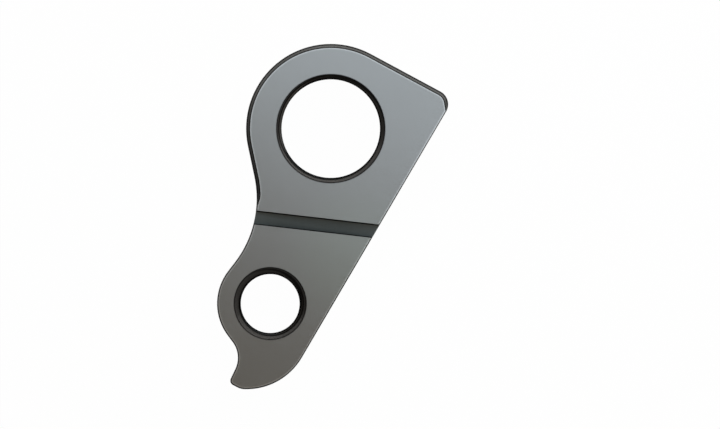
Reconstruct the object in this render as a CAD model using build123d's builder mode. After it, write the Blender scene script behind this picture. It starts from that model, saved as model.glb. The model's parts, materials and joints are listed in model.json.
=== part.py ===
# Derailleur hanger: one flat plate machined from aluminium. All sizes are in millimetres.
#
# The plate lies on its back, with the face that the derailleur bolts to upwards. The origin is on the
# axle hole's axis, halfway through the plate. +X points to the long straight side, +Y to the top edge.
# The outline is a chain of straight sides and roundings. Going anticlockwise it is made of the front
# and top sides, the upper lobe, the flank, the waist, the lower lobe, the chin, the notch, the stop
# face for the derailleur's bracket, the hook's tip and the toe. Headings are in degrees from +X.

from build123d import *
from math import asin, atan2, degrees, hypot, radians, sqrt, tan
import os

# Plate
thickness = 8.0
edge_break = 0.15

# Threaded holes: each is bored to its thread's minor diameter and countersunk on both faces. A metric
# thread's crests stand in from its nominal diameter by a fixed number of pitches.
thread_pitch = 1.0
pitches_to_minor = 1.0825
axle_thread = 16.0
axle_countersink = 16.5
bolt_thread = 10.0
bolt_countersink = 11.0

# The derailleur bolt's hole lies below the axle hole and a little behind it
hole_spacing = 28.05
hole_lean = 19.1

# The long straight side at the front, by its distances from the two holes' centres
front_from_axle = 13.78
front_from_bolt = 8.28

# Upper lobe round the axle hole, between the top side and the flank
corner_radius = 2.2
top_heading = 151.7
axle_lobe_radius = 12.83
flank_heading = 282.0

# Waist, hollow, with a short straight side below it, and the lower lobe round the bolt's hole
waist_radius = 15.9
waist_straight = 1.68
bolt_lobe_radius = 8.05

# Chin, notch and stop face. The face's distance from the bolt's axis sets where the bracket stops.
chin_heading = 307.0
notch_radius = 3.95
stop_heading = 244.5
stop_from_bolt = 0.5
stop_width = 1.61

# Hook's tip and toe. The toe's rounding takes all that its short straight side leaves.
stop_radius = 0.75
tip_heading = 332.0
tip_width = 0.74
tip_radius = 2.55
toe_heading = 0.6
toe_straight = 0.3

# Bevel that a 45 degree cutter leaves round the upper lobe, and how the cutter comes in and goes out
bevel = 0.62
lead_in_heading = 100.0
lead_in_length = 2.5
neck_heading = 274.0
lead_out_heading = 236.0
lead_out_start = 1.4
lead_out_radius = 3.5
lead_out_length = 3.0

# Groove across the neck, where the plate gives way before the frame or the derailleur does
groove_width = 2.15
groove_depth = 2.2
groove_root_radius = 0.25
groove_from_axle = 14.67
groove_slope = -6.5


def towards(heading):
    """The direction of a heading."""
    return Vector(1, 0).rotate(Axis.Z, heading)


def heading_of(way):
    """The heading of a direction."""
    return Vector(1, 0).get_signed_angle(way, Vector(0, 0, 1))


def side(center, distance, heading):
    """A straight side that passes center at a distance, with center on its left."""
    return Axis(center + towards(heading - 90) * distance, towards(heading))


def corners(*sides):
    """The points where each side meets the next one."""
    return [first.intersect(second) for first, second in zip(sides, sides[1:])]


def reach(radius, heading, next_heading):
    """How far a rounding reaches along its two sides from the corner where they meet."""
    turn = abs((next_heading - heading + 180) % 360 - 180)
    return radius * tan(radians(turn) / 2)


def minor_radius(thread):
    """The radius at the crests of a metric internal thread."""
    return (thread - pitches_to_minor * thread_pitch) / 2


axle_center = Vector(0, 0)
bolt_center = Vector(0, -hole_spacing).rotate(Axis.Z, -hole_lean)

# Front and top sides and flank
front_heading = heading_of(axle_center - bolt_center) - degrees(
    asin((front_from_axle - front_from_bolt) / hole_spacing)
)
front = side(axle_center, front_from_axle, front_heading)
top = side(axle_center, axle_lobe_radius, top_heading)
flank = side(axle_center, axle_lobe_radius, flank_heading)

# The waist's centre lies beside the flank, and as far from the bolt as the two radii and the short
# straight side between them ask
waist_centers = side(axle_center, axle_lobe_radius + waist_radius, flank_heading)
waist_to_bolt = hypot(bolt_lobe_radius + waist_radius, waist_straight)
to_bolt = bolt_center - waist_centers.position
along = to_bolt.dot(waist_centers.direction)
across = sqrt(to_bolt.length**2 - along**2)
waist_center = waist_centers.position + waist_centers.direction * (
    along - sqrt(waist_to_bolt**2 - across**2)
)
waist_heading = heading_of(bolt_center - waist_center) - degrees(
    atan2(bolt_lobe_radius + waist_radius, waist_straight)
)
waist = side(bolt_center, bolt_lobe_radius, waist_heading)

# Chin, stop face, tip and toe
chin = side(bolt_center, bolt_lobe_radius, chin_heading)
stop = side(bolt_center, stop_from_bolt, stop_heading)
[notch_corner] = corners(chin, stop)
notch_reach = reach(notch_radius, chin_heading, stop_heading)
stop_reach = reach(stop_radius, stop_heading, tip_heading)
tip_reach = reach(tip_radius, tip_heading, toe_heading)
stop_corner = notch_corner + stop.direction * (notch_reach + stop_width + stop_reach)
tip_corner = stop_corner + towards(tip_heading) * (stop_reach + tip_width + tip_reach)
toe = Axis(tip_corner, towards(toe_heading))
[toe_corner] = corners(toe, front)
toe_room = (toe_corner - tip_corner).length - tip_reach - toe_straight
toe_radius = toe_room / reach(1, toe_heading, front_heading)

# The bevel cutter's way: in at the front corner, one bevel inside the plate's edge, out at the waist
[corner_center] = corners(
    side(axle_center, front_from_axle - corner_radius, front_heading),
    side(axle_center, axle_lobe_radius - corner_radius, top_heading),
)
lead_in = side(corner_center, corner_radius - bevel, lead_in_heading)
top_cut = side(axle_center, axle_lobe_radius - bevel, top_heading)
flank_cut = side(axle_center, axle_lobe_radius - bevel, flank_heading)
neck_cut = side(waist_center, -(waist_radius + bevel), neck_heading)
turn_out = neck_cut.position + neck_cut.direction * lead_out_start
with BuildLine() as cutter_way:
    FilletPolyline(
        lead_in.position - lead_in.direction * lead_in_length,
        *corners(lead_in, top_cut, flank_cut, neck_cut),
        turn_out,
        turn_out + towards(lead_out_heading) * lead_out_length,
        radius=(
            corner_radius - bevel,
            axle_lobe_radius - bevel,
            waist_radius + bevel,
            lead_out_radius,
        ),
    )
front_face = Plane.XY.offset(thickness / 2)
cutter_path = cutter_way.wire().moved(front_face.location)
cutter_start = Plane(cutter_path @ 0, x_dir=(0, 0, 1), z_dir=cutter_path % 0)

with BuildPart() as hanger:
    # Plate, with its outer edges broken
    with BuildSketch():
        with BuildLine():
            FilletPolyline(
                *corners(front, top, flank, waist, chin, stop),
                stop_corner,
                tip_corner,
                toe_corner,
                radius=(
                    corner_radius,
                    axle_lobe_radius,
                    waist_radius,
                    bolt_lobe_radius,
                    notch_radius,
                    stop_radius,
                    tip_radius,
                    toe_radius,
                ),
                close=True,
            )
        make_face()
    extrude(amount=thickness / 2, both=True)
    chamfer(hanger.edges().filter_by(Plane.XY), length=edge_break)

    # Bevel round the upper lobe
    with BuildSketch(cutter_start):
        with BuildLine():
            Polyline((bevel, -bevel), (bevel, 2 * bevel), (-2 * bevel, 2 * bevel), close=True)
        make_face()
    sweep(path=cutter_path, mode=Mode.SUBTRACT)

    # Groove across the neck
    with BuildSketch(Plane.YZ.rotated((0, 0, groove_slope))):
        with Locations((-groove_from_axle, thickness / 2)):
            RectangleRounded(groove_width, 2 * groove_depth, groove_root_radius)
    extrude(amount=2 * axle_lobe_radius, both=True, mode=Mode.SUBTRACT)

    # Holes for the axle and for the derailleur's bolt
    for center, thread, countersink in (
        (axle_center, axle_thread, axle_countersink),
        (bolt_center, bolt_thread, bolt_countersink),
    ):
        front_mouth = Plane(center + front_face.origin)
        back_mouth = Plane(center - front_face.origin, z_dir=(0, 0, -1))
        with Locations(front_mouth, back_mouth):
            CounterSinkHole(minor_radius(thread), countersink / 2, counter_sink_angle=90)

hanger.part.label = "hanger"
os.makedirs("parts", exist_ok=True)
export_step(hanger.part, "parts/hanger.step")
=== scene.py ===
# %% [markdown]
# # A derailleur hanger in satin grey aluminium
#
# The hanger is the small plate that joins a bicycle's rear derailleur to its frame. It is cut from
# aluminium plate, machined round its outline, bored and tapped, and anodised grey.
#
# The CAD model gives every size. This script loads it as a fixed frame, cuts the fine threads that
# the CAD model leaves out, gives each machined surface its finish, and lights and frames the plate.

import json
import math

import bmesh
import bpy
from mathutils import Matrix, Vector


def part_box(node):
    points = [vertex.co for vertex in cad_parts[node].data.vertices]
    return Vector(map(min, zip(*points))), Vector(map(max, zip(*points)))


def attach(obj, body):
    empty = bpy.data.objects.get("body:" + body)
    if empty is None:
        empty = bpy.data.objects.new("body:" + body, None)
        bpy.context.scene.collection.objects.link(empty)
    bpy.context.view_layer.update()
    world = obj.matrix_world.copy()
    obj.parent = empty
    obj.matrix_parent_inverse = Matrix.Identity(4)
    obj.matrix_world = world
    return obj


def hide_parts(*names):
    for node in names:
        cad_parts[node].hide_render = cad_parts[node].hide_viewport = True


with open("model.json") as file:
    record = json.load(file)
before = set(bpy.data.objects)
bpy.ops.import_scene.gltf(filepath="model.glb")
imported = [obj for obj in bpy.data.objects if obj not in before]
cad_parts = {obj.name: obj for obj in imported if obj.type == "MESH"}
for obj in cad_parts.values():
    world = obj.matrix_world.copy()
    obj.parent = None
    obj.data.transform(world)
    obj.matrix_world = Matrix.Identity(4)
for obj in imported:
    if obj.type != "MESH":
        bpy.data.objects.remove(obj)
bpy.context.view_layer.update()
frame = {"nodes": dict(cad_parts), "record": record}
plate_low, plate_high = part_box("hanger")
mm = 0.001
print("plate, mm:", [round(side / mm, 2) for side in plate_high - plate_low])

# %% [markdown]
# ## Shader maths in plain Python
#
# A material is a graph of nodes. Drawing a formula as nodes by hand is slow to read, so one small
# class wraps a node's output and lets Python's own operators add the Math nodes: `mask - 1` makes a
# Subtract node. Every other node comes from `add`, which takes the node's type, its settings, and the
# values or links of its sockets.

# %% A class for values that vary over a surface


class Varying:
    """One output in a graph of nodes, with Python's operators."""

    def __init__(self, graph, socket):
        self.graph, self.socket = graph, socket

    def maths(self, operation, *others):
        """A Math node's result, from this value and the others."""
        inputs = dict(enumerate((self, *others)))
        return add(self.graph, "ShaderNodeMath", {"operation": operation}, inputs)

    def __add__(self, other):
        return self.maths("ADD", other)

    def __mul__(self, other):
        return self.maths("MULTIPLY", other)

    def __sub__(self, other):
        return self.maths("SUBTRACT", other)

    def __rsub__(self, other):
        return self * -1 + other

    def __abs__(self):
        return self.maths("ABSOLUTE")

    __radd__, __rmul__ = __add__, __mul__

    def ramp(self, low, high):
        """0 at low, 1 at high, and a smooth change between them, whichever of the two is larger."""
        settings = {"interpolation_type": "SMOOTHSTEP"}
        inputs = {"Value": self, "From Min": low, "From Max": high}
        return add(self.graph, "ShaderNodeMapRange", settings, inputs)


def add(graph, kind, settings=None, inputs=None, output=0):
    """Add a node, set it up, give its sockets values or links, and return one of its outputs."""
    node = graph.nodes.new(kind)
    for name, value in (settings or {}).items():
        setattr(node, name, value)
    for socket, value in (inputs or {}).items():
        if isinstance(value, Varying):
            graph.links.new(value.socket, node.inputs[socket])
        else:
            node.inputs[socket].default_value = value
    return Varying(graph, node.outputs[output]) if len(node.outputs) else None


# %% [markdown]
# ## A base for every finish
#
# Anodised aluminium is bare metal under a clear, dyed skin of oxide. The skin's dye sets the colour of
# what the metal reflects, so each finish is a metal with a tinted base colour. The finishes differ in
# how dark their colour is, which on the cuts, the groove and the threads includes painted shade, how
# rough the surface is, and which marks the cutter left.

# %% The start and the end of every finish
def new_graph(name):
    """A new material, and its empty graph of nodes."""
    material = bpy.data.materials.new(name)
    material.use_nodes = True
    material.node_tree.nodes.clear()
    return material, material.node_tree


def metal(material, **varying):
    """Make a material bare metal. The keywords are the shader's sockets, such as base_color."""
    sockets = {name.replace("_", " ").title(): value for name, value in varying.items()}
    graph = material.node_tree
    shader = add(graph, "ShaderNodeBsdfPrincipled", inputs={"Metallic": 1.0, **sockets})
    add(graph, "ShaderNodeOutputMaterial", inputs={"Surface": shader})
    print("finish:", material.name, "nodes:", len(graph.nodes))
    return material


# %% What a finish can read from a surface
def place(graph):
    """The point on the surface, in the object's own coordinates."""
    return add(graph, "ShaderNodeTexCoord", output="Object")


def facing(graph):
    """The way the surface faces, in the object's own directions."""
    return add(graph, "ShaderNodeTexCoord", output="Normal")


def part_of(vector, axis):
    """The x, y or z of a vector."""
    return add(vector.graph, "ShaderNodeSeparateXYZ", inputs={0: vector}, output=axis)


def dot(vector, direction):
    """How far a vector goes in a direction."""
    inputs = {0: vector, 1: direction}
    return add(vector.graph, "ShaderNodeVectorMath", {"operation": "DOT_PRODUCT"}, inputs, "Value")


def distance(point, spot):
    """How far a point is from a spot."""
    inputs = {0: point, 1: spot}
    return add(point.graph, "ShaderNodeVectorMath", {"operation": "DISTANCE"}, inputs, "Value")


# %% How a finish can vary
def times(vector, factors):
    """A vector or colour with each of its parts multiplied by a factor of its own."""
    inputs = {0: vector, 1: factors}
    return add(vector.graph, "ShaderNodeVectorMath", {"operation": "MULTIPLY"}, inputs)


def noise(point, scale, detail=2.0, stretch=(1, 1, 1)):
    """Soft spots from 0 to 1, about 1 / scale metres across, drawn out where stretch is below 1."""
    inputs = {"Vector": times(point, stretch), "Scale": scale, "Detail": detail}
    return add(point.graph, "ShaderNodeTexNoise", inputs=inputs)


def tint(colour, amount):
    """A colour made lighter or darker by an amount that varies over the surface."""
    level = add(amount.graph, "ShaderNodeCombineXYZ", inputs={0: amount, 1: amount, 2: amount})
    return times(level, colour)


def blend(share, colour, other):
    """One colour where the share is 0, the other where it is 1."""
    # The Mix node keeps its two colours in sockets 6 and 7, and its mixed colour in output 2
    settings = {"data_type": "RGBA", "clamp_factor": True}
    inputs = {0: share, 6: (*colour, 1), 7: (*other, 1)}
    return add(share.graph, "ShaderNodeMix", settings, inputs, output=2)


def bump(height, strength, depth):
    """Small height changes, as a normal."""
    inputs = {"Height": height, "Strength": strength, "Distance": depth}
    return add(height.graph, "ShaderNodeBump", inputs=inputs)


# %% [markdown]
# ## Satin plate
#
# The broad faces are blasted before anodising, which gives them an even satin grain too fine to see
# from a step away. The sides are milled, and the cutter's teeth leave faint lines along its axis. One
# material does both: it reads which way the surface faces, and shows the lines only on the sides. The
# dye came out a little cloudy, and the colour is a little greener and lighter just below the groove.
#
# A painted highlight runs along the rim of a broad face, and a painted line of shade along its very
# edge. Where the rim lies could be painted on by hand, but an attribute that the mesh carries keeps it
# exact. It is 0 away from the rim, and at the rim it says what lies beyond: the bevel, an outer edge,
# the front side's edge, whose painted line of shade is weaker because it faces the light, or a
# countersink. It is made further down, with the mesh.

# %% The satin plate's finish
plate_colour = (0.30, 0.31, 0.31)
neck_colour = (0.318, 0.343, 0.33)
neck_spot = Vector((3.5, -20, 4)) * mm
# What the rim attribute says; the lit front edge gets a weaker painted line of shade
at_bevel, at_lit_front_edge, at_outer_edge, at_countersink = 1.0, 1.3, 2.0, -1.0


def rim_shade(graph):
    """A painted highlight along the rim, and a painted line of shade beside outer edges and
    countersinks.
    """
    rim = add(graph, "ShaderNodeAttribute", {"attribute_name": "rim"}, output="Fac")
    rim_highlight = rim.ramp(0, at_bevel)
    outer_shade_line = rim.ramp(at_bevel + 0.1, at_outer_edge - 0.2)
    countersink_shade_line = rim.ramp(0.45 * at_countersink, at_countersink)
    return (1 + 0.65 * rim_highlight) * (1 - 0.7 * outer_shade_line) * (1 - 0.65 * countersink_shade_line)


def satin_plate():
    material, graph = new_graph("satin_plate")
    point = place(graph)
    side = abs(part_of(facing(graph), 2)).ramp(0.35, 0.15)
    grain = noise(point, 9000, detail=3.0)
    cloud = noise(point, 70, detail=3.0)
    lines = noise(point, 2600, stretch=(1, 1, 0.02))
    near_neck = distance(point, neck_spot).ramp(14 * mm, 2 * mm)
    colour = blend(near_neck, plate_colour, neck_colour)
    # rim_shade paints a highlight along the rim and lines of shade at its edges
    shade = (0.97 + 0.06 * cloud - 0.12 * side * lines) * rim_shade(graph)
    relief = 0.15 * grain * (1 - side) + side * lines
    return metal(
        material,
        base_color=tint(colour, shade),
        roughness=0.28 + 0.04 * grain + 0.08 * side * lines,
        normal=bump(relief, 0.25, 0.02 * mm),
    )


satin = satin_plate()

# %% [markdown]
# ## Groove
#
# The groove across the neck is milled. Its floor and rounded roots are painted far darker than the
# plate's faces, as painted shade for the shadow between its walls. Its direction, place, width and
# depth are the CAD model's. Its own material follows them: a point's distance from the walls paints
# shade into the two roots, its side of the groove paints the upper half lighter and the lower half
# darker, and its distance from the groove's middle paints light into the ends, where more light comes
# in. Masks in the plate's own material could do this too, but two short materials read better than
# one long one.

# %% The groove's finish
# Painted shade: the groove's dark colour stands for the shadow between its walls
groove_shade_colour = (0.082, 0.0935, 0.0915)
groove_slope = math.radians(-6.5)
groove_across = Vector((-math.sin(groove_slope), math.cos(groove_slope), 0))
groove_from_axle = 14.67 * mm
groove_half = 2.15 / 2 * mm
groove_floor = plate_high.z - 2.2 * mm
groove_middle = Vector((-2.6 * mm, -14.9 * mm, groove_floor))


def groove_finish():
    material, graph = new_graph("milled_groove")
    point = place(graph)
    across = dot(point, groove_across) + groove_from_axle
    from_wall = groove_half - abs(across)
    # Painted shade in the two roots
    root = from_wall.ramp(0.25 * mm, 0.12 * mm)
    # Painted light towards the upper wall and at the ends, and painted shade on the lower half
    lower_side_shade = across.ramp(-0.3 * groove_half, -groove_half)
    ends = distance(point, groove_middle).ramp(4.5 * mm, 10 * mm)
    marks = noise(point, 2200, stretch=(1, 0.15, 0.15))
    shade = 0.95 + 0.16 * marks + across * (0.25 / groove_half) + 0.22 * ends - 0.3 * lower_side_shade
    return metal(
        material,
        base_color=tint(groove_shade_colour, shade * (1 - 0.55 * root)),
        roughness=0.30 + 0.06 * marks,
        normal=bump(marks, 0.15, 0.01 * mm),
    )


milled_groove = groove_finish()

# %% [markdown]
# ## The two tapped holes
#
# The axle hole carries a left-hand M16 x 1 thread, and the derailleur's hole an M10 x 1. A metric
# thread's groove is a 60 degree wedge, 3/4 of the pitch wide at the bore and 1/8 at its root. It runs
# out through the countersink, where it leaves a bright and dark pattern that turns round the hole.
#
# Both the mesh and the materials need this helix. One small class keeps its numbers for both, so that
# the painted lines of shade in the materials fall exactly beside the grooves that the mesh gets.

# %% The shape of a tapped hole
mounts = {mount["name"]: mount for mount in frame["record"]["mounts"]}
pitch = 1.0 * mm
thread_depth = 0.5413 * pitch
flank_angle = math.radians(30)
flank_slope = math.tan(flank_angle)

# Half the thread groove's width at the bore and at its root
groove_mouth, groove_root = pitch * 3 / 8, pitch / 16


class Hole:
    """A tapped hole: its bore's radius at the thread's crest, and its countersink's at the mouth.

    The thread rises by `rise` a turn, and crosses the plate's middle at the angle `start`.
    """

    def __init__(self, mount, mouth, rise, start):
        self.centre = Vector(mounts[mount]["pos_m"])
        self.crest = mounts[mount]["dims"]["r_mm"] * mm
        self.mouth, self.rise, self.start = mouth, rise, math.radians(start)

    def from_centre(self, point):
        """A point's x and y, counted from the hole's axis."""
        return part_of(point, 0) - self.centre.x, part_of(point, 1) - self.centre.y

    def radius(self, point):
        """How far a point is from the hole's axis."""
        x, y = self.from_centre(point)
        return (x * x + y * y).maths("SQRT")

    def opening(self, radius):
        """Half the thread groove's width at a radius."""
        return groove_mouth - (radius - self.crest) * flank_slope

    def beside_groove(self, point):
        """How far the metal at a point is from the thread's nearest turn."""
        x, y = self.from_centre(point)
        angle = y.maths("ARCTAN2", x) - self.start
        height = part_of(point, 2) - angle * (self.rise / math.tau)
        from_turn = abs(height.maths("WRAP", pitch / 2, -pitch / 2))
        return (from_turn - self.opening(self.radius(point))) * math.cos(flank_angle)


axle_hole = Hole("axle_hole", mouth=8.25 * mm, rise=-pitch, start=6.9)
bolt_hole = Hole("derailleur_thread", mouth=5.5 * mm, rise=pitch, start=183.2)
print("crest radii, mm:", [round(hole.crest / mm, 3) for hole in (axle_hole, bolt_hole)])

# %% [markdown]
# ## Cut bevels and countersinks
#
# The bevel round the upper lobe and the countersinks are cut by tools with a 45 degree face. Their
# colour is painted far darker than the plate, as painted shade, with the darkest painted line of shade
# along both of their edges. Such lines could come from painted masks, but on a 45 degree cut height
# alone says how far a point is from each edge, so they are read from the z coordinate. A countersink
# also gets painted shade beside the thread, and the bevel towards its end at the neck.

# %% The finish of a 45 degree cut
# Painted shade: the cuts' dark colours stand for the shade that these 45 degree faces show
bevel_shade_colour = (0.043, 0.043, 0.0415)
countersink_shade_colour = (0.0372, 0.036, 0.0343)
bevel_depth = 0.62 * mm

# How far from its edge each painted line of shade fades out, and how far from it the line is still full
bevel_upper_line = 0.224 * mm, 0.112 * mm
countersink_upper_line = 0.176 * mm, 0.08 * mm
lower_line = 0.272 * mm, 0.144 * mm
thread_line = 0.17 * mm, 0.08 * mm


def cut_finish(name, colour, depth, upper_line, hole=None):
    material, graph = new_graph(name)
    point = place(graph)
    below_face = plate_high.z - abs(part_of(point, 2))
    # Painted lines of shade along the upper and lower edges
    upper_edge_shade = below_face.ramp(*upper_line)
    lower_edge_shade = (depth - below_face).ramp(*lower_line)
    rings = noise(point, 5000, stretch=(0.1, 0.1, 1))
    shade = (0.9 + 0.2 * rings) * (1 - 0.8 * upper_edge_shade) * (1 - 0.85 * lower_edge_shade)
    if hole:
        # Painted shade beside the thread
        beside_thread_shade = hole.beside_groove(point).ramp(*thread_line)
        shade = shade * (1 - 0.75 * beside_thread_shade)
    else:
        # Painted shade towards the neck
        towards_neck_shade = part_of(point, 1).ramp(3 * mm, -9 * mm)
        shade = shade * (1 - 0.55 * towards_neck_shade)
    return metal(
        material,
        base_color=tint(colour, shade),
        roughness=0.36 + 0.06 * rings,
        normal=bump(rings, 0.15, 0.01 * mm),
    )


lobe_bevel = cut_finish("lobe_bevel", bevel_shade_colour, bevel_depth, bevel_upper_line)
axle_countersink, bolt_countersink = (
    cut_finish(name, countersink_shade_colour, hole.mouth - hole.crest, countersink_upper_line, hole)
    for name, hole in (("axle_countersink", axle_hole), ("bolt_countersink", bolt_hole))
)

# %% [markdown]
# ## Broken edges
#
# Every sharp edge of the outline is broken by a bevel of 0.15 mm. It is too narrow to show a surface of
# its own, and its near black colour paints a line of shade round the plate. A Bevel node could fake it,
# but the CAD model has the real faces, so they only need a finish. Along the front side, which faces
# the light, it gets a painted highlight, most of all at the upper end, which is read from the way a
# face points and from its y coordinate.

# %% The finish of the broken edges
# Painted shade: the broken edges' near black colour
edge_shade_colour = (0.02, 0.02, 0.02)
lit_front_side = Vector((0.87, -0.5))


def edge_finish():
    material, graph = new_graph("broken_edge")
    point = place(graph)
    wear = noise(point, 900)
    # Painted highlight along the front side, which faces the light, strongest at the upper end
    towards_lit_front = dot(facing(graph), (*lit_front_side, 0)).ramp(0.5, 0.68)
    towards_lit_top = part_of(point, 1).ramp(-22 * mm, 0)
    return metal(
        material,
        base_color=tint(edge_shade_colour, 0.8 + 0.4 * wear + 3 * towards_lit_front * towards_lit_top),
        roughness=0.38 + 0.06 * wear,
    )


broken_edge = edge_finish()

# %% [markdown]
# ## The threads' finish
#
# A tap's teeth leave the flanks smoother than the blasted faces. Their dark colour is painted shade.
# The crests, which the drill left, get a painted line of shade, and so does the lip where the thread
# runs out through the countersink and casts its shadow. Both are read from the same helix as the mesh,
# so the lines stay beside the thread all the way round. In the axle hole, the side of the first turn
# that faces the light gets a painted highlight, just outside the crest.

# %% The finish of the threads
# Painted shade: the threads' dark colour
thread_shade_colour = (0.034, 0.034, 0.0335)
# The way the axle thread's painted highlight faces, towards the light
glint_side = Vector((0.94, -0.34))

# How far from the crest or the lip each painted line, of shade or of highlight, fades out, and how far
# from it the line is still full
crest_line = 0.27 * mm, 0.14 * mm
lip_line = 0.24 * mm, 0.12 * mm
glint_line = 0.42 * mm, 0.28 * mm


def thread_finish(name, hole, glint_strength=0):
    material, graph = new_graph(name)
    point = place(graph)
    radius = hole.radius(point)
    from_crest = radius - hole.crest
    below_cone = plate_high.z - abs(part_of(point, 2)) - (hole.mouth - radius)
    from_lip = abs(below_cone - 2 * hole.opening(radius))
    crest, lip = from_crest.ramp(*crest_line), from_lip.ramp(*lip_line)
    marks = noise(point, 7000, stretch=(0.15, 0.15, 1))
    # Painted lines of shade at the crest and at the lip
    shade = (0.85 + 0.3 * marks) * (1 - 0.8 * crest) * (1 - 0.8 * lip)
    if glint_strength:
        # A painted highlight on the side of the first turn that faces the light
        towards_glint = dot(facing(graph), (*glint_side, 0)).ramp(0.33, 0.45)
        first_turn = part_of(point, 2).ramp(2.4 * mm, 2.8 * mm)
        shade = shade + glint_strength * towards_glint * first_turn * from_crest.ramp(*glint_line)
    return metal(
        material,
        base_color=tint(thread_shade_colour, shade),
        roughness=0.34 + 0.06 * marks,
        normal=bump(marks, 0.12, 0.01 * mm),
    )


axle_thread = thread_finish("axle_thread", axle_hole, glint_strength=1.9)
bolt_thread = thread_finish("bolt_thread", bolt_hole)

# %% [markdown]
# ## The ridges that the taps cut
#
# What a tap takes away is a ridge: a profile carried along a helix. Screw modifiers can make one too,
# but a Geometry Nodes tree says the rule in the open: an angle and a height that both follow the place
# along the curve. A thread is left-handed where the height falls as the angle grows. The ridge goes
# one turn past each face of the plate, so that it cuts all the way through.

# %% The sizes that a tap's ridge is given
turns = round((plate_high.z - plate_low.z) / pitch) + 2
points_a_turn = 96
ridge_inputs = {
    "Rise": ("NodeSocketFloat", pitch),
    "Turns": ("NodeSocketFloat", turns),
    "Crest Radius": ("NodeSocketFloat", axle_hole.crest),
    "Start Angle": ("NodeSocketFloat", 0.0),
    "Points": ("NodeSocketInt", turns * points_a_turn + 1),
    "Finish": ("NodeSocketMaterial", None),
}
print("turns:", turns, "points along the helix:", ridge_inputs["Points"][1])


# %% The helix and the tooth of a tap's ridge
def helix_curve(tree, given):
    """A curve whose points are turned and raised by their place along it."""
    line = add(tree, "GeometryNodeCurvePrimitiveLine")
    inputs = {"Curve": line, "Count": given("Points")}
    points = add(tree, "GeometryNodeResampleCurve", inputs=inputs)
    along = add(tree, "GeometryNodeSplineParameter", output="Factor")
    turned = given("Turns") * (along - 0.5)
    angle = turned * math.tau + given("Start Angle")
    x = angle.maths("COSINE") * given("Crest Radius")
    y = angle.maths("SINE") * given("Crest Radius")
    inputs = {"X": x, "Y": y, "Z": turned * given("Rise")}
    inputs = {"Geometry": points, "Position": add(tree, "ShaderNodeCombineXYZ", inputs=inputs)}
    helix = add(tree, "GeometryNodeSetPosition", inputs=inputs)
    return add(tree, "GeometryNodeSetCurveNormal", {"mode": "Z_UP"}, {"Curve": helix})


overlap = 0.06 * mm


def tooth_profile(tree):
    """A blunt 60 degree wedge, which starts a little inside the bore so that it cuts cleanly."""
    foot, tip = groove_mouth + overlap * flank_slope, groove_root
    inputs = {
        "Point 1": (-overlap, -foot, 0),
        "Point 2": (thread_depth, -tip, 0),
        "Point 3": (thread_depth, tip, 0),
        "Point 4": (-overlap, foot, 0),
    }
    return add(tree, "GeometryNodeCurvePrimitiveQuadrilateral", {"mode": "POINTS"}, inputs)


# %% A Geometry Nodes tree for a tap's ridge
def ridge_tree():
    tree = bpy.data.node_groups.new("tap_ridge", "GeometryNodeTree")
    for name, (kind, value) in ridge_inputs.items():
        socket = tree.interface.new_socket(name, in_out="INPUT", socket_type=kind)
        if value is not None:
            socket.default_value = value
    tree.interface.new_socket("Ridge", in_out="OUTPUT", socket_type="NodeSocketGeometry")

    def given(name):
        return add(tree, "NodeGroupInput", output=name)

    inputs = {"Curve": helix_curve(tree, given), "Profile Curve": tooth_profile(tree), "Fill Caps": True}
    ridge = add(tree, "GeometryNodeCurveToMesh", inputs=inputs)
    ridge = add(tree, "GeometryNodeRealizeInstances", inputs={"Geometry": ridge})
    inputs = {"Geometry": ridge, "Material": given("Finish")}
    ridge = add(tree, "GeometryNodeSetMaterial", inputs=inputs)
    add(tree, "NodeGroupOutput", inputs={"Ridge": ridge})
    print("tree:", tree.name, "nodes:", len(tree.nodes))
    return tree


# %% Grow the two ridges
def plain_mesh(thing):
    """What an object looks like with its modifiers, as a mesh of its own."""
    return bpy.data.meshes.new_from_object(
        thing.evaluated_get(bpy.context.evaluated_depsgraph_get())
    )


def put_in_scene(name, mesh):
    thing = bpy.data.objects.new(name, mesh)
    bpy.context.scene.collection.objects.link(thing)
    return thing


def tap_ridge(name, tree, centre, values):
    """The ridge for one hole, as a plain mesh in its place."""
    thing = put_in_scene(name, bpy.data.meshes.new(name))
    growth = thing.modifiers.new("ridge", "NODES")
    growth.node_group = tree
    for socket in tree.interface.items_tree:
        if socket.in_out == "INPUT" and socket.name in values:
            growth[socket.identifier] = values[socket.name]
    mesh = plain_mesh(thing)
    bpy.data.objects.remove(thing)
    mesh.transform(Matrix.Translation(centre))
    return put_in_scene(name, mesh)


tree = ridge_tree()
ridges = []
for hole, finish in ((axle_hole, axle_thread), (bolt_hole, bolt_thread)):
    values = {
        "Rise": hole.rise,
        "Crest Radius": hole.crest,
        "Start Angle": hole.start,
        "Finish": finish,
    }
    ridges.append(tap_ridge(finish.name + "_ridge", tree, hole.centre, values))
    print(ridges[-1].name, "faces:", len(ridges[-1].data.polygons))

# %% [markdown]
# ## The plate itself
#
# The CAD model's mesh has the right shape, so the plate starts as a copy of it. The copy's triangles
# come loose, and are joined where they meet. Boolean modifiers then cut the two ridges out of it, as
# the taps cut the metal. The exact solver copes with the ridges' many thin faces, and the material mode
# gives each face that a ridge cuts the finish that the ridge carries.

# %% Copy the plate
same_point = 0.0005 * mm
mesh = frame["nodes"]["hanger"].data.copy()
mesh.materials.clear()
for layer in list(mesh.uv_layers):
    mesh.uv_layers.remove(layer)
shape = bmesh.new()
shape.from_mesh(mesh)
bmesh.ops.remove_doubles(shape, verts=shape.verts, dist=same_point)
shape.to_mesh(mesh)
shape.free()
hanger = put_in_scene("hanger_plate", mesh)
print("faces of the copy:", len(mesh.polygons))

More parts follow.
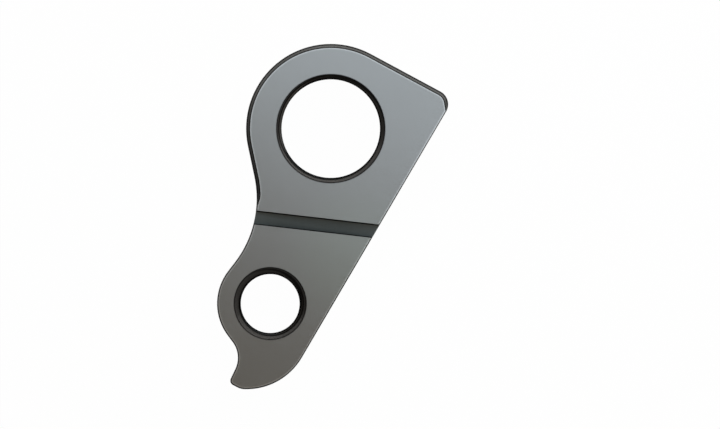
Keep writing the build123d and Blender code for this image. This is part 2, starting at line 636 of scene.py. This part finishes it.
# %% Cut its threads
finishes = [
    satin,
    broken_edge,
    lobe_bevel,
    axle_countersink,
    bolt_countersink,
    milled_groove,
    axle_thread,
    bolt_thread,
]
for finish in finishes:
    mesh.materials.append(finish)
for ridge in ridges:
    cut = hanger.modifiers.new("thread", "BOOLEAN")
    cut.operation, cut.solver, cut.object = "DIFFERENCE", "EXACT", ridge
    cut.material_mode = "TRANSFER"
hanger.data = plain_mesh(hanger)
hanger.modifiers.clear()
for ridge in ridges:
    bpy.data.objects.remove(ridge)
print("faces after cutting:", len(hanger.data.polygons))

# %% [markdown]
# ## Which finish goes where
#
# Each face says by itself how it was made. Flat faces and upright sides are satin plate, apart from the
# groove's floor, roots and walls. A face at 45 degrees is a cut: near a hole's axis it is a countersink,
# just below the plate's face it is a broken edge, and otherwise it is the lobe's bevel. The threads
# already have the finish of the ridges that cut them. Faces could be listed by number instead, but the
# numbers would be wrong as soon as the CAD model changed.

# %% Sort the faces by how they were made
near = 0.005 * mm
broken_depth = 0.2 * mm


def made_how(face):
    """The finish of a face, from where it lies and which way it faces."""
    middle = face.calc_center_median()
    depths = [plate_high.z - abs(v.co.z) for v in face.verts]
    across = middle.dot(groove_across) + groove_from_axle
    between_walls = abs(across) < groove_half + near and middle.z > groove_floor - near
    is_end = abs(face.normal.cross(groove_across).z) > 0.3
    if between_walls and max(depths) > broken_depth and not is_end:
        return milled_groove
    at_45_degrees = 0.6 < abs(face.normal.z) < 0.8
    if not at_45_degrees:
        return satin
    if (middle - axle_hole.centre).xy.length < axle_hole.mouth:
        return axle_countersink
    if (middle - bolt_hole.centre).xy.length < bolt_hole.mouth:
        return bolt_countersink
    touches_face = min(depths) < near
    return broken_edge if touches_face and max(depths) < broken_depth else lobe_bevel


shape = bmesh.new()
shape.from_mesh(hanger.data)
shape.normal_update()
counts = dict.fromkeys((finish.name for finish in finishes), 0)
for face in shape.faces:
    finish = finishes[face.material_index]
    if finish not in (axle_thread, bolt_thread):
        finish = made_how(face)
    face.material_index = finishes.index(finish)
    counts[finish.name] += 1
print("faces:", counts)

# %% [markdown]
# ## The rim of the broad faces
#
# The satin finish reads an attribute named `rim`. The CAD mesh has no vertices near the edges inside a
# broad face, so the faces are inset first: that adds a narrow ring of faces all along their borders.
# The attribute is then set on the outer side of that ring, by what the ring borders on, and it falls
# to 0 across the ring's width. Vertices that nearly touch are merged before the inset, because two
# close corners would fold the ring over at the thin end of the bevel.

# %% What the ring is added to, and what its attribute says
flatness = 0.001 * mm


def broad_faces():
    """The faces that lie in the plate's two broad sides."""
    return [
        face
        for face in shape.faces
        if all(abs(abs(v.co.z) - plate_high.z) < flatness for v in face.verts)
    ]


def rim_value(border):
    """What the attribute says beside a face that borders on the ring."""
    finish = finishes[border.material_index]
    if finish is broken_edge:
        # A broken edge that faces the lit front side gets a weaker painted line of shade
        away_from_lit_front = 1 - border.normal.xy.normalized().dot(lit_front_side)
        return at_lit_front_edge + (at_outer_edge - at_lit_front_edge) * min(1, 4 * away_from_lit_front)
    if finish in (axle_countersink, bolt_countersink):
        return at_countersink
    return at_bevel if finish is lobe_bevel else 0.0


# %% Add the ring and its attribute
rim_width = 0.25 * mm
corner_gap = 0.035 * mm

face_corners = list({v for face in broad_faces() for v in face.verts})
bmesh.ops.remove_doubles(shape, verts=face_corners, dist=corner_gap)
ring = bmesh.ops.inset_region(
    shape, faces=broad_faces(), thickness=rim_width, use_even_offset=True, use_boundary=True
)["faces"]
shape.normal_update()
rim = shape.loops.layers.float.new("rim")
for face in ring:
    for corner in face.loops:
        value = max((rim_value(border) for border in corner.edge.link_faces), key=abs)
        if value:
            corner[rim] = value
            corner.link_loop_next[rim] = value
turned = sum(face.normal.z * face.verts[0].co.z < 0 for face in broad_faces())
print("ring faces:", len(ring), "turned over:", turned)

# %% [markdown]
# ## Smooth and sharp
#
# Shading is smooth over the round surfaces. It breaks where the surface turns by more than 40 degrees,
# and where one finish meets another at more than 5. A closed mesh, with two faces at every edge, can be
# printed or cut again, so the edges that aren't shared by two faces are counted.

# %% Mark the sharp edges and hand the piece to the frame
sharp_turn, sharp_seam = math.radians(40), math.radians(5)

for face in shape.faces:
    face.smooth = True
for edge in shape.edges:
    if len(edge.link_faces) == 2:
        one, other = edge.link_faces
        bend = one.normal.angle(other.normal, 0)
        is_seam = one.material_index != other.material_index
        edge.smooth = bend < (sharp_seam if is_seam else sharp_turn)
loose = sum(not edge.is_manifold for edge in shape.edges)
shape.to_mesh(hanger.data)
shape.free()
print("open edges:", loose, "faces:", len(hanger.data.polygons))

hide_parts("hanger")
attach(hanger, "root")

# %% [markdown]
# ## Floor
#
# The photograph shows the plate alone on white. The floor is pale paint that a lamp lights, mixed with
# a plain white for the rays of the camera and of reflections. That keeps the background at exactly
# white without any more light on the plate, and a trace of the paint keeps the plate's shadow.

# %% Floor
paint_colour = (0.9, 0.9, 0.9, 1)
white_share = 0.985
floor_half = 1.5


def floor_finish():
    material, graph = new_graph("floor")
    rays = [
        add(graph, "ShaderNodeLightPath", output=ray)
        for ray in ("Is Camera Ray", "Is Glossy Ray", "Is Transmission Ray")
    ]
    seen = rays[0].maths("MAXIMUM", rays[1]).maths("MAXIMUM", rays[2])
    paint = add(graph, "ShaderNodeBsdfDiffuse", inputs={"Color": paint_colour})
    white = add(graph, "ShaderNodeEmission", inputs={"Strength": 1.0})
    lit = add(graph, "ShaderNodeMixShader", inputs={0: white_share * seen, 1: paint, 2: white})
    add(graph, "ShaderNodeOutputMaterial", inputs={"Surface": lit})
    return material


floor_corners = [
    (x * floor_half, y * floor_half, plate_low.z) for x, y in ((-1, -1), (1, -1), (1, 1), (-1, 1))
]
mesh = bpy.data.meshes.new("floor")
mesh.from_pydata(floor_corners, [], [(0, 1, 2, 3)])
mesh.materials.append(floor_finish())
floor = put_in_scene("floor", mesh)
print("floor, m:", 2 * floor_half, "x", 2 * floor_half)

# %% [markdown]
# ## Light
#
# Metal shows what it reflects. One large softbox near the plate's upper end gives the broad face its
# fall from light to dark, and a dim, warm world fills the rest. A surface cut at 45 degrees, seen from
# above, reflects what stands level with it. So a ring of long low boxes, of different brightness,
# gives the bevel and the countersinks their light and dark sides. They are kept low, because from the
# side the broad face would otherwise mirror them.

# %% The world's light
sky_colour = (1.0, 0.84, 0.67, 1)
sky_strength = 0.28

world = bpy.data.worlds.new("studio")
bpy.context.scene.world = world
world.use_nodes = True
sky = world.node_tree.nodes["Background"].inputs
sky["Color"].default_value = sky_colour
sky["Strength"].default_value = sky_strength
print("world strength:", sky_strength)

# %% Softboxes
plate_middle = Vector((4, -13, 4)) * mm
key_spot = Vector((29, 53, 105)) * mm
key_size = 168 * mm, 168 * mm
key_colour = (1.02, 1.16, 1.30)

# The low boxes' brightness, by their heading from the plate's middle in degrees
low_boxes = {0: 3.0, 45: 7.5, 90: 7.25, 135: 4.5, 180: 0.75, -135: 1.0, -90: 1.125, -45: 2.125}
low_box_reach = Vector((250, 0, 22)) * mm
low_box_size = 240 * mm, 56 * mm


def softbox(name, spot, size, brightness, colour=(1, 1, 1)):
    """An oval softbox turned towards the plate. Brightness 1 is white to look at."""
    lamp = bpy.data.lights.new(name, "AREA")
    lamp.shape, lamp.color = "ELLIPSE", colour
    lamp.size, lamp.size_y = size
    # A lamp's power is pi times its brightness and its area, and an ellipse's area has another pi / 4
    lamp.energy = brightness * math.pi**2 / 4 * lamp.size * lamp.size_y
    box = put_in_scene(name, lamp)
    box.location = spot
    box.rotation_euler = (plate_middle - spot).to_track_quat("-Z", "Y").to_euler()
    box.visible_camera = False


softbox("key", key_spot, key_size, 1.0, key_colour)
for heading, brightness in low_boxes.items():
    turn = Matrix.Rotation(math.radians(heading), 3, "Z")
    softbox(f"low_box_{heading}", plate_middle + turn @ low_box_reach, low_box_size, brightness)
print("softboxes:", 1 + len(low_boxes))

# %% [markdown]
# ## Camera
#
# The photograph looks straight down, from so far away that neither hole shows more of one wall than of
# the other. An orthographic camera does that. Its scale and place put the axle hole's centre on the
# same pixel as in the photograph.

# %% Camera
frame_width, frame_height = 720, 429
pixel = 1 / 6.6 * mm
axle_column, axle_row = 330.77, 128.62
camera_height = 0.3

eye = bpy.data.cameras.new("camera")
eye.type, eye.ortho_scale = "ORTHO", frame_width * pixel
eye.clip_start, eye.clip_end = 0.01, 10
camera = put_in_scene("camera", eye)
right, up = frame_width / 2 - axle_column, axle_row - frame_height / 2
camera.location = right * pixel, up * pixel, camera_height
bpy.context.scene.camera = camera
bpy.context.scene.view_settings.view_transform = "Standard"
print("camera, mm:", [round(value / mm, 2) for value in camera.location])
